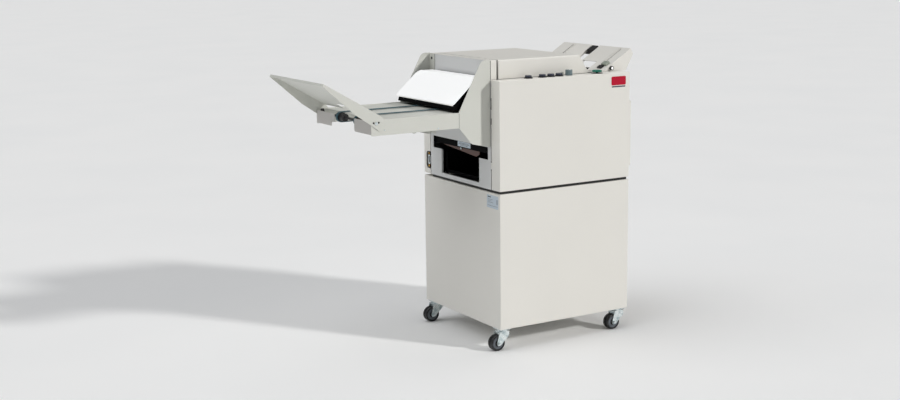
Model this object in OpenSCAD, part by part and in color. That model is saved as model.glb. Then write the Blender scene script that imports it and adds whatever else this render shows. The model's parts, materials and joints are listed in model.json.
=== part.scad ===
// Card slitting and creasing machine on a cabinet with casters.
// Origin: on the floor, under the centre of the cabinet. +X is the feeder end, -X the delivery end,
// -Y the operator's side, +Z up. Sheets travel from +X to -X.

/* [Cabinet] */
// Length of the cabinet along the sheet path
cabinet_w = 646; // [580:1:780]
// Depth of the cabinet, operator's side to rear
cabinet_d = 600; // [500:1:720]
// Height of the cabinet body
cabinet_h = 558; // [420:1:700]
// Thickness of the cabinet's sheet metal
cabinet_t = 2; // [1.5:0.5:3]
// Width of the rim around the cabinet's rear door
door_rim = 28; // [20:1:50]
// Depth of the rear door's folded edges
door_fold = 16; // [14:1:24]

/* [Casters] */
// Height from the floor to the cabinet's underside
caster_h = 92; // [88:1:110]
// Diameter of a caster wheel
wheel_d = 66; // [50:1:68]
// Width of a caster wheel
wheel_w = 32; // [26:1:36]
// Distance from the swivel axis back to the wheel's axle
caster_trail = 28; // [20:1:32]
// Swivel axis to the cabinet's end face
caster_inset_x = 30; // [30:1:80]
// Swivel axis to the cabinet's front and rear faces
caster_inset_y = 35; // [32:1:80]
// Diameter of the wheel's axle
axle_d = 8; // [6:0.5:12]

/* [Machine body] */
// Height of the front cover, from the feet to the control ledge
front_h = 441; // [400:1:560]
// Gap that the feet leave above the cabinet
foot_gap = 11; // [6:1:20]
// Thickness of the front cover box
front_door_t = 60; // [56:1:90]
// Thickness of the rear housing
rear_housing_t = 54; // [50:1:90]
// Gap between the body and the cover boxes
cover_gap = 5; // [5:0.5:8]
// Thickness of the machine's side frames
frame_t = 4; // [3:0.5:6]
// Thickness of the machine's sheet metal
sheet_t = 2; // [1.5:0.5:3]
// Height of the hood above the ledge
hood_h = 78; // [60:1:110]
// Depth of the end cover at the feeder end
end_cover_t = 60; // [30:1:90]
// Height of the end cover
end_cover_h = 277; // [150:1:320]

/* [Delivery] */
// Height of the belts' top face above the machine's base
belt_h = 324.5; // [300:0.5:360]
// Length of the exit cheeks
cheek_l = 146; // [120:1:180]
// Length of the exit tray beyond the cheeks
tray_l = 389; // [250:1:480]
// Height of the exit tray's side walls
tray_wall_h = 61; // [45:1:64]
// Radius of the belt rollers
roller_r = 19; // [14:0.5:20]
// Thickness of a belt
belt_t = 2.5; // [1.5:0.5:3]
// Width of a belt
belt_w = 14; // [8:1:30]
// Spacing of the two belts
belt_spacing = 154; // [120:1:220]
// How far the pair of belts stands off the machine's centre, towards the operator
belt_offset = 11; // [0:1:20]
// Length of the hinged wing
wing_l = 268; // [160:1:320]
// Angle at which the wing stands
wing_angle = 30; // [15:1:32]

/* [Waste bin] */
// Width of the bin opening
bin_open_w = 299; // [200:1:380]
// Height of the bin opening
bin_open_h = 102; // [80:1:108]
// Length of the waste bin
bin_l = 446; // [300:1:500]
// Wall of the waste bin
bin_t = 2.5; // [2:0.5:4]
// Clearance around the waste bin
bin_gap = 3.5; // [2:0.5:6]

/* [Feeder] */
// Angle of the feeder plates
feed_angle = 31.5; // [28:0.5:36]
// Height of the feeder's top edge above the ledge
feed_rise = 91; // [80:1:110]
// How far the feeder's top edge stands beyond the machine's end
feed_overhang = 54; // [40:1:90]
// Width of the gap between the two feeder plates
feed_gap = 54; // [30:1:90]
// Width of the strips that run down to the ledge
feed_strip_w = 108; // [80:1:130]
// Width of the long slots
slot_w = 5; // [4:0.5:8]

/* [Controls] */
// Distance from the front face to the row of controls
control_y = 34; // [30:1:40]
// Diameter of a push button's cap
button_d = 28; // [20:1:30]
// Height of a push button above the ledge
button_h = 13; // [8:1:18]
// Stem and shaft diameter of the controls
stem_d = 8; // [6:0.5:10]
// Spacing of the three buttons that stand together
button_pitch = 41; // [40:1:48]
// Diameter of the green start button's cap
start_d = 42; // [30:1:44]

/* [Clearances] */
// Radial clearance of a shaft that turns in its bore
running_fit = 0.05; // [0.02:0.01:0.08]
// Clearance between pieces that pass each other
free_gap = 1; // [0.6:0.1:2]

/* [Hidden] */
$fn = 48;

// Paint and finish colours
paint = [0.86, 0.85, 0.82];
paint_cool = [0.76, 0.77, 0.78];
zinc = [0.75, 0.78, 0.80];
black = [0.05, 0.05, 0.06];
steel = [0.55, 0.56, 0.58];
teal = [0.05, 0.24, 0.30];

// Levels
z_cab = caster_h;
z_cab_top = z_cab + cabinet_h;
z_base = z_cab_top + foot_gap;
z_ledge = z_base + front_h;
z_frame_top = z_ledge - 1;
z_hood = z_ledge + hood_h;
z_belt = z_base + belt_h;

// Ends and sides
x_exit = -cabinet_w / 2;
x_feed = cabinet_w / 2;
y_front = -cabinet_d / 2;
y_rear = cabinet_d / 2;
y0 = y_front + front_door_t + cover_gap;
y1 = y_rear - rear_housing_t - cover_gap;
y_mid = (y0 + y1) / 2;
in0 = y0 + frame_t;
in1 = y1 - frame_t;

// Rear door of the cabinet
door_gap = 3.5;
pin_d = 6;
door_x0 = x_exit + door_rim + door_gap;
door_x1 = x_feed - door_rim - door_gap;
door_z0 = z_cab + door_rim + door_gap;
door_z1 = z_cab_top - door_rim - door_gap;
cab_pin = [door_x0 + 6, y_rear - 6];

// Front cover's hinge, in the gap behind the cover
front_pin_d = 4;
front_pin = [x_exit + 2.3, y0 - cover_gap / 2];
knuckle_h = 26;
front_pin_z = [z_ledge - 95, z_base + 97];

// Delivery
x_tray = x_exit - cheek_l;
x_tray_end = x_tray - tray_l;
z_roller = z_belt - belt_t - roller_r;
x_drive = x_exit - 24;
x_end_roller = x_tray_end + 6 + roller_r;
y_belts = y_mid - belt_offset;
z_wall_top = z_belt - 3;
z_wall_low = z_wall_top - tray_wall_h;
deck_top = z_belt - belt_t - 3;
shaft_d = 10;
bearing_t = 9;
wing_pin = [x_tray_end + 20, z_wall_top - 13.5];
wing_rise = 34;
wing_pin_d = 8;

// Exit guard
guard_pin = [x_exit - 13, z_ledge + 4];
guard_reach = 58;
guard_gap = 3;
guard_drop = 100;
guard_run = 112;

// Waste bin
bin_floor = z_base + 19;
slot_z0 = z_base + 17 + bin_open_h;
slot_z1 = slot_z0 + 51;
slot_half = (y1 - y0) / 2 - 21.5;

// Feeder
feed_top = [x_feed + feed_overhang, z_ledge + feed_rise];
feed_tan = tan(feed_angle);
feed_plate_l = 94;
feed_low_x = feed_top.x - feed_plate_l;
feed_roll = [x_feed - 61, z_ledge - 14];
feed_roll_r = 20;

// Controls, measured along the ledge from the machine's centre
y_control = y_front + control_y;
button_x = [-163, -95, -95 + button_pitch, -95 + 2 * button_pitch];
mode_x = 36;
start_x = 178;

function unit(v) = v / norm(v);

// Arc that rounds the corner b between a and c
function corner_arc(a, b, c, r, n = 6) =
    let (u = unit(a - b))
    let (v = unit(c - b))
    let (half = acos(u * v) / 2)
    let (m = b + unit(u + v) * r / sin(half))
    let (p = b + u * r / tan(half) - m)
    let (q = b + v * r / tan(half) - m)
    let (start = atan2(p.y, p.x))
    let (turn = (atan2(q.y, q.x) - start + 540) % 360 - 180)
    [for (i = [0:n]) m + r * [cos(start + turn * i / n), sin(start + turn * i / n)]];

// Outline of [x, y, corner radius] points
function rounded(pts) = [
    for (i = [0:len(pts) - 1])
        let (a = pts[(i + len(pts) - 1) % len(pts)])
        let (b = pts[i])
        let (c = pts[(i + 1) % len(pts)])
        each b[2] > 0 ? corner_arc([a.x, a.y], [b.x, b.y], [c.x, c.y], b[2]) : [[b.x, b.y]]
];

function rect(a0, a1, b0, b1, r = 0) = rounded([[a0, b0, r], [a1, b0, r], [a1, b1, r], [a0, b1, r]]);

// Box between two corners
module block(a, b) {
    translate(a) cube(b - a);
}

// Plate with its outline in X and Z
module xz_plate(ya, yb, pts) {
    translate([0, yb, 0]) rotate([90, 0, 0]) linear_extrude(yb - ya) polygon(pts);
}

// Plate with its outline in Y and Z
module yz_plate(xa, xb, pts) {
    translate([xa, 0, 0]) rotate([90, 0, 90]) linear_extrude(xb - xa) polygon(pts);
}

// Plate with its outline in X and Y
module xy_plate(za, zb, pts) {
    translate([0, 0, za]) linear_extrude(zb - za) polygon(pts);
}

// Round bar along Y at [x, z]
module y_bar(p, ya, yb, d) {
    translate([p.x, yb, p.y]) rotate([90, 0, 0]) cylinder(h = yb - ya, d = d);
}

// Round bar along X at [y, z]
module x_bar(p, xa, xb, d) {
    translate([xa, p.x, p.y]) rotate([0, 90, 0]) cylinder(h = xb - xa, d = d);
}

// Round bar along Z at [x, y]
module z_bar(p, za, zb, d) {
    translate([p.x, p.y, za]) cylinder(h = zb - za, d = d);
}

// Folded box that is open on one side
module open_box(a, b, t, open) {
    difference() {
        block(a, b);
        block(a + t * [1, 1, 1] - (t + 1) * [for (i = [0:2]) max(-open[i], 0)],
              b - t * [1, 1, 1] + (t + 1) * [for (i = [0:2]) max(open[i], 0)]);
    }
}

// ---- Cabinet ----

module cabinet_shell() {
    color(paint) {
        difference() {
            block([x_exit, y_front, z_cab], [x_feed, y_rear, z_cab_top]);
            block([x_exit + cabinet_t, y_front + cabinet_t, z_cab + cabinet_t],
                  [x_feed - cabinet_t, y_rear - cabinet_t, z_cab_top - cabinet_t]);
            block([x_exit + door_rim, y_rear - cabinet_t - 1, z_cab + door_rim],
                  [x_feed - door_rim, y_rear + 1, z_cab_top - door_rim]);
        }
    }
}

module cabinet_door() {
    color(paint) difference() {
        open_box([door_x0, y_rear - door_fold, door_z0], [door_x1, y_rear, door_z1], cabinet_t, [0, -1, 0]);
        z_bar(cab_pin, door_z0 - 1, door_z1 + 1, pin_d + 2 * running_fit);
        // Finger pull at the free edge
        translate([door_x1 - 40, y_rear + 1, (door_z0 + door_z1) / 2]) rotate([90, 0, 0]) cylinder(h = 4, d = 30);
    }
}

// Brackets with pins: two each for the cabinet's rear door, the hood and the front cover
module hinge_pins() {
    color(zinc) {
        for (s = [0, 1]) {
            z_low = s == 0 ? z_cab + cabinet_t : door_z1 + 1.5;
            z_high = s == 0 ? door_z0 - 1.5 : z_cab_top - cabinet_t;
            union() {
                block([x_exit + cabinet_t, cab_pin.y - 8, z_low], [cab_pin.x + 8, y_rear - cabinet_t, z_high]);
                z_bar(cab_pin, s == 0 ? z_low : door_z1 - 6, s == 0 ? door_z0 + 6 : z_high, pin_d);
            }
        }
        // Hood's hinge: each bracket screws to the rear frame and carries a pin
        for (x = hood_knuckle_x) union() {
            block([x - 6, in1 - 6, z_frame_top - 20], [x - 1, in1, hood_pin.y + 4]);
            x_bar(hood_pin, x - 6, x + hood_knuckle_l + 3, front_pin_d);
        }
    }
    color(black) for (z = front_pin_z) union() {
        z_bar(front_pin, z - 20, z + 20, front_pin_d);
        z_bar(front_pin, z + 14, z + 20, cover_gap - 0.8);
        block([front_pin.x - 2, front_pin.y, z + 14], [front_pin.x + 18, y0, z + 20]);
        z_bar(front_pin, z - 20, z - 14, cover_gap - 0.8);
        block([front_pin.x - 2, front_pin.y, z - 20], [front_pin.x + 18, y0, z - 14]);
    }
}

// ---- Casters ----

function caster_place(i) = [
    (i % 2 == 0 ? x_exit + caster_inset_x : x_feed - caster_inset_x),
    (i < 2 ? y_front + caster_inset_y : y_rear - caster_inset_y)
];
plate_t = 3;
plate_half = min(28, caster_inset_x - 1);
kingpin_d = 12;
fork_t = 3;
crown_z = caster_h - 15.5;
leg_gap = wheel_w + 3;

module caster_plates() {
    color(zinc) for (i = [0:3]) translate(caster_place(i)) {
        difference() {
            xy_plate(caster_h - plate_t, caster_h, rect(-plate_half, plate_half, -28, 28, 6));
            for (a = [-1, 1]) for (b = [-1, 1]) z_bar([a * (plate_half - 8), b * 20], 0, caster_h + 1, 7);
        }
        z_bar([0, 0], crown_z - 4.5, caster_h - plate_t, kingpin_d);
        z_bar([0, 0], crown_z - 4.5, crown_z - 0.5, 19);
    }
}

module caster_fork(i) {
    color(zinc) translate(caster_place(i)) {
        difference() {
            union() {
                z_bar([0, 0], crown_z, caster_h - plate_t - 0.5, 44);
                xy_plate(crown_z, crown_z + fork_t, rect(-24, 22, -leg_gap / 2 - fork_t, leg_gap / 2 + fork_t, 4));
                for (s = [-1, 1]) xz_plate(s * (leg_gap + fork_t) / 2 - fork_t / 2, s * (leg_gap + fork_t) / 2 + fork_t / 2,
                    rounded([[22, crown_z + fork_t, 0], [-24, crown_z + fork_t, 0], [-caster_trail - 9, wheel_d / 2, 5],
                             [-caster_trail - 5, wheel_d / 2 - 11, 5], [-caster_trail + 9, wheel_d / 2 - 9, 5],
                             [20, crown_z - 16, 6]]));
            }
            z_bar([0, 0], crown_z - 1, caster_h, kingpin_d + 2 * running_fit);
            y_bar([-caster_trail, wheel_d / 2], -leg_gap, leg_gap, axle_d + 0.2);
        }
        // Riveted axle with a head at each end
        y_bar([-caster_trail, wheel_d / 2], -leg_gap / 2 - fork_t - 0.5, leg_gap / 2 + fork_t + 0.5, axle_d);
        for (s = [0, 1]) mirror([0, s, 0])
            y_bar([-caster_trail, wheel_d / 2], leg_gap / 2 + fork_t + 0.2, leg_gap / 2 + fork_t + 3, axle_d + 5);
    }
}

module caster_wheel(i) {
    r = wheel_d / 2;
    w = wheel_w / 2;
    bore = axle_d / 2 + running_fit;
    half = rounded([[bore, 0, 0], [bore, w, 0], [12, w, 0], [14, w - 3, 0], [r - 8, w - 3, 0], [r - 6, w, 1.5],
                    [r, w - 1, 4], [r, 2, 1], [r - 3.5, 1.2, 0], [r - 3.5, 0, 0]]);
    color(black) translate(caster_place(i)) translate([-caster_trail, 0, r]) rotate([90, 0, 0]) union() {
        rotate_extrude($fn = 72) polygon(half);
        mirror([0, 0, 1]) rotate_extrude($fn = 72) polygon(half);
    }
}

// ---- Machine structure ----

module machine_feet() {
    color(black) for (x = [x_exit + 60, x_feed - 60]) for (y = [y0 + 50, y1 - 50])
        z_bar([x, y], z_cab_top, z_base, 40);
}

module base_plate() {
    color(paint_cool) {
        block([x_exit + sheet_t, in0, z_base], [x_feed - sheet_t, in1, z_base + 3]);
        // Two rails that carry the waste bin
        for (s = [-1, 1]) translate([0, s * (bin_open_w / 2 - 30), 0])
            block([x_exit + 22, y_mid - 8, z_base + 3], [x_exit + bin_l + 10, y_mid + 8, bin_floor - 0.5]);
    }
}

// Holes for the shafts that cross the machine
module shaft_holes() {
    for (p = [slit_upper, slit_lower, feed_roll]) y_bar(p, y0 - 1, y1 + 1, shaft_d + 2 * running_fit);
}
slit_upper = [x_exit + 223, z_belt + 25.5];
slit_lower = [x_exit + 223, z_belt - 23.5];
slit_r = 25.5;

module frame_front() {
    color(steel) difference() {
        block([x_exit + sheet_t, y0, z_base], [x_feed - sheet_t, in0, z_frame_top]);
        shaft_holes();
    }
}

module frame_rear() {
    color(steel) difference() {
        block([x_exit + sheet_t, in1, z_base], [x_feed - sheet_t, y1, z_frame_top]);
        shaft_holes();
    }
}

outlet_half = (y1 - y0) / 2 - 33;
module exit_end_panel() {
    color(paint) {
        difference() {
            block([x_exit, y0, z_base], [x_exit + sheet_t, y1, z_hood - sheet_t]);
            // T-shaped opening: a wide slot over the bin opening
            yz_plate(x_exit - 1, x_exit + sheet_t + 1,
                rounded([[y_mid - bin_open_w / 2, z_base + 17, 1.5], [y_mid + bin_open_w / 2, z_base + 17, 1.5],
                         [y_mid + bin_open_w / 2, slot_z0, 2], [y_mid + slot_half, slot_z0, 2],
                         [y_mid + slot_half, slot_z1, 2], [y_mid - slot_half, slot_z1, 2],
                         [y_mid - slot_half, slot_z0, 2], [y_mid - bin_open_w / 2, slot_z0, 2]]));
            // Sheet outlet above the belts
            yz_plate(x_exit - 1, x_exit + sheet_t + 1, rect(y_mid - outlet_half, y_mid + outlet_half, z_belt - 8, z_belt + 30, 3));
            // Grooves between the cheeks and the top strip's posts
            for (y = [y0 - 1, y1 - 3]) block([x_exit - 1, y, z_ledge], [x_exit + sheet_t + 1, y + 4, z_hood]);
        }
        // Folded edges of the bin opening
        fold_half = bin_open_w / 2 + sheet_t;
        block([x_exit + sheet_t, y_mid - fold_half, z_base + 15], [x_exit + 8, y_mid + fold_half, z_base + 17]);
        for (s = [0, 1]) translate([0, y_mid, 0]) mirror([0, s, 0])
            block([x_exit + sheet_t, bin_open_w / 2, z_base + 17], [x_exit + 8, bin_open_w / 2 + sheet_t, slot_z0 - 2]);
    }
}

// End panel whose top folds over to close the machine around the feed roller
module feed_end_panel() {
    reach = feed_roll_r + 4;
    color(paint_cool) {
        block([x_feed - sheet_t, y0, z_base], [x_feed, y1, z_frame_top]);
        difference() {
            block([x_feed - 158, in0, z_frame_top - sheet_t], [x_feed - sheet_t, in1, z_frame_top]);
            block([feed_roll.x - reach, in0 + 30, z_frame_top - 5], [feed_roll.x + reach, in1 - 30, z_frame_top + 1]);
        }
    }
}

module end_cover() {
    color(paint) difference() {
        open_box([x_feed, y0, z_base + 34], [x_feed + end_cover_t, y1, z_base + 34 + end_cover_h], sheet_t, [-1, 0, 0]);
        inlet_cut();
        switch_cut();
    }
}
inlet_c = [y1 - 70, z_base + 80];
switch_c = [y1 - 120, z_base + 80];
x_end = x_feed + end_cover_t;
module inlet_cut() {
    yz_plate(x_end - 10, x_end + 1, rect(inlet_c.x - 14, inlet_c.x + 14, inlet_c.y - 12, inlet_c.y + 12, 3));
}
module switch_cut() {
    yz_plate(x_end - 10, x_end + 1, rect(switch_c.x - 11, switch_c.x + 11, switch_c.y - 15, switch_c.y + 15));
}

// Strip that bridges the machine at the exit end: two posts and a top
module top_strip() {
    color(paint) {
        difference() {
            yz_plate(x_exit, x_exit + 29,
                rounded([[y0, z_frame_top, 0], [y0, z_hood, 4], [y1, z_hood, 4], [y1, z_frame_top, 0],
                         [y1 - sheet_t, z_frame_top, 0], [y1 - sheet_t, z_hood - sheet_t, 2],
                         [y0 + sheet_t, z_hood - sheet_t, 2], [y0 + sheet_t, z_frame_top, 0]]));
            block([x_exit - 1, y0 - 1, z_frame_top - 1], [x_exit + sheet_t, y1 + 1, z_hood - sheet_t]);
        }
        // Domed screws near both corners
        for (y = [y0 + 55, y0 + 88, y1 - 40, y1 - 22]) translate([x_exit + 18, y, z_hood]) cylinder(h = 2, d1 = 9, d2 = 6);
    }
}

hood_x0 = x_exit + 38;
// The hood's hinge pin as [y, z], and where its knuckles start
hood_pin = [y1 - 5, z_ledge + 7];
hood_knuckle_x = [hood_x0 + 24, x_feed - 270];
hood_knuckle_l = 24;
function hood_outline(t) = [
    [hood_x0 + t, z_ledge + 1],
    [hood_x0 + t, z_hood - t],
    [x_feed - 216 - t / 2, z_hood - t],
    [x_feed - 196 - t, z_ledge + 54],
    [x_feed - 186 - t, z_ledge + 34],
    [x_feed - 174 - t, z_ledge + 18],
    [x_feed - 161 - t, z_ledge + 8],
    [x_feed - 143 - t, z_ledge + 1]
];

module hood() {
    color(paint) difference() {
        union() {
            difference() {
                intersection() {
                    xz_plate(y0, y1, hood_outline(0));
                    yz_plate(x_exit, x_feed, rounded([[y0, z_ledge, 0], [y0, z_hood, 6], [y1, z_hood, 6], [y1, z_ledge, 0]]));
                }
                translate([0, 0, -0.01]) xz_plate(y0 + sheet_t, y1 - sheet_t, hood_outline(sheet_t));
            }
            for (x = hood_knuckle_x) {
                x_bar(hood_pin, x, x + hood_knuckle_l, 8);
                block([x, hood_pin.x, hood_pin.y - 3.5], [x + hood_knuckle_l, y1 - sheet_t / 2, hood_pin.y + 3.5]);
            }
        }
        for (x = hood_knuckle_x) {
            x_bar(hood_pin, x - 1, x + hood_knuckle_l + 1, front_pin_d + 2 * running_fit);
            // Room for the bracket as the hood swings up
            block([x - 8, y1 - sheet_t - 1, z_ledge], [x, y1 + 1, hood_pin.y + 6]);
        }
    }
}

// Front cover: a folded box whose top is the control ledge
module front_door() {
    color(paint) {
        difference() {
            open_box([x_exit, y_front, z_base], [x_feed, y_front + front_door_t, z_ledge], sheet_t, [0, 1, 0]);
            for (x = concat(button_x, [mode_x, start_x])) z_bar([x, y_control], z_ledge - 5, z_ledge + 1, stem_d + 2 * running_fit);
        }
        // Hinge knuckles
        for (z = front_pin_z) difference() {
            union() {
                z_bar(front_pin, z - knuckle_h / 2, z + knuckle_h / 2, cover_gap - 0.4);
                block([x_exit, y_front + front_door_t - 10, z - knuckle_h / 2],
                      [front_pin.x, front_pin.y, z + knuckle_h / 2]);
            }
            z_bar(front_pin, z - knuckle_h, z + knuckle_h, front_pin_d + 2 * running_fit);
        }
    }
}

notch_z = z_base + 60;
module rear_housing() {
    // Tabs that join it to the rear frame
    color(paint) for (x = [x_exit + 90, x_feed - 120]) {
        block([x, y1, z_base], [x + 30, y1 + cover_gap + 10, z_base + 12]);
        block([x, y1, z_ledge - 14], [x + 30, y1 + cover_gap + 10, z_ledge]);
    }
    color(paint) difference() {
        open_box([x_exit, y1 + cover_gap, z_base], [x_feed, y_rear, z_ledge], sheet_t, [0, -1, 0]);
        yz_plate(x_exit - 1, x_exit + sheet_t + 1,
            rounded([[y1 + cover_gap - 1, notch_z - 37, 0], [y1 + cover_gap + 35, notch_z - 37, 14],
                     [y1 + cover_gap + 35, notch_z + 37, 14], [y1 + cover_gap - 1, notch_z + 37, 0]]));
    }
}

// Multi-way socket with a screw above and below it, set back behind the notch
module port_connector() {
    color(black) {
        yz_plate(x_exit + 9, x_exit + 12, rect(y1 + cover_gap + 3, y1 + cover_gap + 31, notch_z - 34, notch_z + 34, 4));
        yz_plate(x_exit + 4, x_exit + 9, rect(y1 + cover_gap + 9, y1 + cover_gap + 25, notch_z - 19, notch_z + 19, 5));
        for (s = [-1, 1]) translate([x_exit + 5, y1 + cover_gap + 17, notch_z + s * 27]) rotate([0, 90, 0]) cylinder(h = 4, d = 7);
    }
}

// ---- Delivery ----

cheek_top = z_hood + 2;
cheek_outline = rounded([
    [x_exit, cheek_top, 0],
    [x_exit - 40, cheek_top, 30],
    [x_exit - cheek_l, z_wall_top + 3, 4],
    [x_exit - cheek_l, z_wall_low, 6],
    [x_exit - 88, z_wall_low - 68, 20],
    [x_exit - 10, z_wall_low - 86, 4],
    [x_exit, z_wall_low - 86, 0]
]);
cheek_t = 2.5;

// Flange that screws to the end panel, with a keyhole at the top
module cheek_flange(side) {
    translate([0, side == 0 ? y0 : y1, 0]) mirror([0, side, 0]) difference() {
        block([x_exit - sheet_t, cheek_t, z_wall_low - 80], [x_exit, 44, cheek_top - 3]);
        translate([x_exit + 1, 22, cheek_top - 20]) rotate([0, -90, 0]) cylinder(h = sheet_t + 2, d = 9);
        block([x_exit - sheet_t - 1, 19.5, cheek_top - 20], [x_exit + 1, 24.5, cheek_top - 6]);
        block([x_exit - sheet_t - 1, 30, z_belt - 80], [x_exit + 1, 45, z_belt + 60]);
    }
}

module cheek_front() {
    color(paint) {
        xz_plate(y0, y0 + cheek_t, cheek_outline);
        cheek_flange(0);
    }
}

module cheek_rear() {
    color(paint) {
        xz_plate(y1 - cheek_t, y1, cheek_outline);
        cheek_flange(1);
    }
}

// White guard over the outlet: a flat top, a sloping face with round corners and a small lip
module exit_guard() {
    g0 = y0 + cheek_t + guard_gap;
    g1 = y1 - cheek_t - guard_gap;
    face_l = norm([guard_run, guard_drop]);
    tilt = atan2(guard_drop, guard_run);
    color([0.95, 0.96, 0.96]) difference() {
        union() {
            block([x_exit - guard_reach, g0 + 38, guard_pin.y + 6], [guard_pin.x, g1 - 38, guard_pin.y + 8]);
            for (y = [g0 + 40, g1 - 60]) {
                y_bar(guard_pin, y, y + 20, 9);
                block([guard_pin.x - 4, y, guard_pin.y], [guard_pin.x, y + 20, guard_pin.y + 8]);
            }
            translate([x_exit - guard_reach, 0, guard_pin.y + 8]) rotate([0, -tilt, 0]) {
                xy_plate(-2, 0, rounded([[0, g0, 30], [0, g1, 30], [-face_l, g1, 9], [-face_l, g0, 9]]));
                block([-face_l, g0 + 11, -7], [-face_l + 2, g1 - 11, 0]);
            }
        }
        y_bar(guard_pin, g0, g1, 4 + 2 * running_fit);
    }
}

// Black guard that holds the outlet's pinch rollers down, with the pin that carries the exit guard
module nip_guard() {
    low = z_belt + 5.5;
    color(black) {
        difference() {
            xz_plate(y0 + cheek_t + 12, y1 - cheek_t - 12,
                [[x_exit - 165, low], [x_exit - 60, low], [x_exit - 60, low + 92], [x_exit - 76, low + 92], [x_exit - 160, low + 16]]);
            xz_plate(y0 + cheek_t + 15, y1 - cheek_t - 15,
                [[x_exit - 156, low + 3], [x_exit - 59, low + 3], [x_exit - 59, low + 89], [x_exit - 75, low + 87], [x_exit - 156, low + 14]]);
        }
    }
    // The guard's pin, and the rod that carries this one
    color(steel) y_bar(guard_pin, y0 + cheek_t, y1 - cheek_t, 4);
    color(steel) y_bar([x_exit - 100, low + 26], y0 + cheek_t, y1 - cheek_t, 8);
}

module exit_tray() {
    color(paint) {
        for (s = [0, 1]) {
            w0 = s == 0 ? y0 : y1 - sheet_t;
            xz_plate(w0, w0 + sheet_t, rounded([[x_tray, z_wall_low, 0], [x_tray, z_wall_top, 0],
                [x_tray_end, z_wall_top, 14], [x_tray_end, z_wall_low, 3]]));
        }
        // Deck between the walls, reaching in between the cheeks
        block([x_tray_end + 38, y0 + sheet_t, deck_top - 2], [x_tray, y1 - sheet_t, deck_top]);
        block([x_tray, y0 + cheek_t, deck_top - 2], [x_drive - 27, y1 - cheek_t, deck_top]);
        // Stiffening rib and mounting ear under the deck
        block([x_tray - 12, y0 + sheet_t, z_wall_low], [x_tray - 10, y1 - sheet_t, z_roller - roller_r - 8]);
        block([x_tray - 202, y0 + 8, z_wall_low - 5], [x_tray - 190, y0 + 20, z_wall_low + 3]);
        block([x_tray - 202, y0 + sheet_t, z_wall_low], [x_tray - 190, y0 + 20, z_wall_low + 3]);
    }
}

// Two plates that close the tray's end on each side of the belts
module tray_end_plates() {
    color(paint_cool) {
        inner = belt_spacing / 2 + belt_w / 2;
        yz_plate(x_tray_end + 0.5, x_tray_end + 2.5, rect(y0 + sheet_t, y_belts - inner, z_wall_low + 4, z_wall_top - 6, 6));
        yz_plate(x_tray_end + 0.5, x_tray_end + 2.5, rounded([[y1 - 134, z_wall_low + 4, 3], [y1 - sheet_t, z_wall_low + 4, 3],
            [y1 - sheet_t, z_wall_top - 6, 3], [y_belts + inner + 4, z_wall_top - 6, 3], [y_belts + inner + 4, z_wall_top - 38, 3],
            [y1 - 134, z_wall_top - 38, 0]]));
    }
}

function loop_outline(r) = concat(
    [for (a = [90:-11.25:-90]) [x_drive + r * cos(a), z_roller + r * sin(a)]],
    [for (a = [-90:-11.25:-270]) [x_end_roller + r * cos(a), z_roller + r * sin(a)]]
);

module delivery_belts() {
    color(teal) for (s = [-1, 1]) translate([0, y_belts + s * belt_spacing / 2, 0]) difference() {
        xz_plate(-belt_w / 2, belt_w / 2, loop_outline(roller_r + belt_t));
        xz_plate(-belt_w, belt_w, loop_outline(roller_r));
    }
}

// Shaft with a pulley for each belt and a hub beside the rear one
module belt_roller(x) {
    r = roller_r - 0.3;
    b = belt_spacing / 2;
    color(steel) y_bar([x, z_roller], y0 + cheek_t + 1.5, y1 - cheek_t - 1.5, shaft_d);
    color(black) {
        y_bar([x, z_roller], y_belts + b - belt_w / 2 - 30, y_belts + b - belt_w / 2 - 2, 2 * (r - 3));
        for (s = [-1, 1]) y_bar([x, z_roller], y_belts + s * b - belt_w / 2 - 2, y_belts + s * b + belt_w / 2 + 2, 2 * r);
    }
}

module belt_drive_roller() {
    belt_roller(x_drive);
}

module belt_end_roller() {
    belt_roller(x_end_roller);
}

// Four flanged blocks that carry the two belt shafts
module shaft_bearings() {
    color(black) for (x = [x_drive, x_end_roller]) for (s = [0, 1]) {
        wall = x == x_drive ? cheek_t : sheet_t;
        translate([0, s == 0 ? y0 : y1, 0]) mirror([0, s, 0]) difference() {
            union() {
                y_bar([x, z_roller], wall, bearing_t + 2, 17);
                xz_plate(wall, wall + 3, rect(x - 8, x + 8, z_roller - 17, z_roller + 17, 4));
            }
            y_bar([x, z_roller], cheek_t + 1, bearing_t + 3, shaft_d + 2 * running_fit);
        }
    }
}

// Wing: a folded sheet, drawn flat and pointing to -X, with its pivot at the origin
wing_out = 3;
module wing_flat() {
    f = 2;
    outline = rounded([[-wing_l, wing_rise, 0], [28, wing_rise, 24], [28, -20, 6], [-20, -15, 0],
                       [-91, -10, 0], [-wing_l, wing_rise - 10, 0]]);
    difference() {
        union() {
            block([-wing_l, y0 - wing_out, wing_rise - f], [0, y1 + wing_out, wing_rise]);
            block([-wing_l, y0 - wing_out, wing_rise - 10], [-wing_l + f, y1 + wing_out, wing_rise]);
            xz_plate(y0 - wing_out, y0 - wing_out + f, outline);
            xz_plate(y1 + wing_out - f, y1 + wing_out, outline);
        }
        y_bar([0, 0], y0 - 10, y1 + 10, wing_pin_d + 2 * running_fit);
        // Notch over the end roller
        block([-46, y_belts - 72, wing_rise - f - 1], [1, y_belts + 72, wing_rise + 1]);
    }
}

module wing() {
    color(paint) translate([wing_pin.x, 0, wing_pin.y]) rotate([0, wing_angle, 0]) wing_flat();
}

// Shouldered screws on which the wing turns
module wing_pivots() {
    color(zinc) for (s = [0, 1]) translate([0, s == 0 ? y0 : y1, 0]) mirror([0, s, 0]) {
        y_bar(wing_pin, -wing_out - 0.5, 0, wing_pin_d);
        y_bar(wing_pin, -wing_out - 2.5, -wing_out - 0.5, wing_pin_d + 4);
        y_bar(wing_pin, -0.5, 0, wing_pin_d + 6);
    }
}

// ---- Waste ----

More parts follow.
